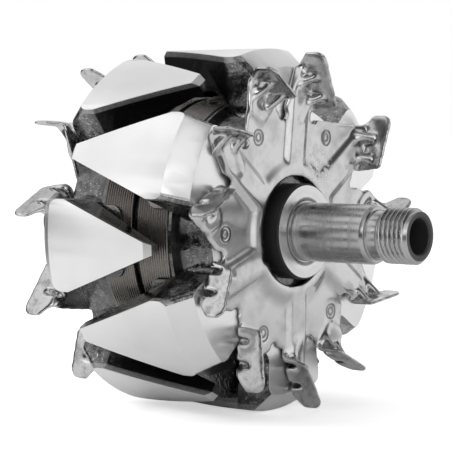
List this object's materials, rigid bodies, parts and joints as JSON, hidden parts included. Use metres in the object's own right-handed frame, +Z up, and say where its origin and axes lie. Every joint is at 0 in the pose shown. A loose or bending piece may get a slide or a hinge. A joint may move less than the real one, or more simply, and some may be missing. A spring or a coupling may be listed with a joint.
{
  "type": "alternator rotor",
  "caption": "Claw-pole alternator rotor: interlocked steel claws round a field winding, a pressed cooling fan on each face, and a shaft with threaded nose and slip rings.",
  "frame": {"origin": "on the shaft axis, midway between the outer faces of the two claw poles", "axes": "+X along the shaft towards the pulley end, +Z up"},
  "size_m": [0.1356, 0.1062, 0.1062],
  "materials": {
    "shaft_steel": "ground, satin",
    "core_steel": "turned",
    "claw_steel": "turned outer faces, dark varnished flanks",
    "bobbin_plastic": "moulded, glossed by varnish",
    "varnished_copper": "enamelled wire under dark varnish",
    "fan_sheet": "zinc plated pressing",
    "spacer_steel": "turned",
    "carrier_plastic": "moulded",
    "slip_ring_copper": "turned, burnished",
    "lead_sleeving": "varnished woven sleeving"
  },
  "bodies": {
    "root": {"shaft": "shaft_steel", "pole_core": "core_steel", "front_claw_pole": "claw_steel", "rear_claw_pole": "claw_steel", "coil_bobbin": "bobbin_plastic", "field_winding": "varnished_copper", "front_fan": "fan_sheet", "rear_fan": "fan_sheet", "front_spacer": "spacer_steel", "rear_spacer": "spacer_steel", "slip_ring_carrier": "carrier_plastic", "inner_slip_ring": "slip_ring_copper", "outer_slip_ring": "slip_ring_copper", "inner_ring_bar": "slip_ring_copper", "outer_ring_bar": "slip_ring_copper", "lead_guide": "carrier_plastic", "start_lead_wire": "varnished_copper", "finish_lead_wire": "varnished_copper", "start_lead_sleeve": "lead_sleeving", "finish_lead_sleeve": "lead_sleeving"}
  },
  "joints": []
}
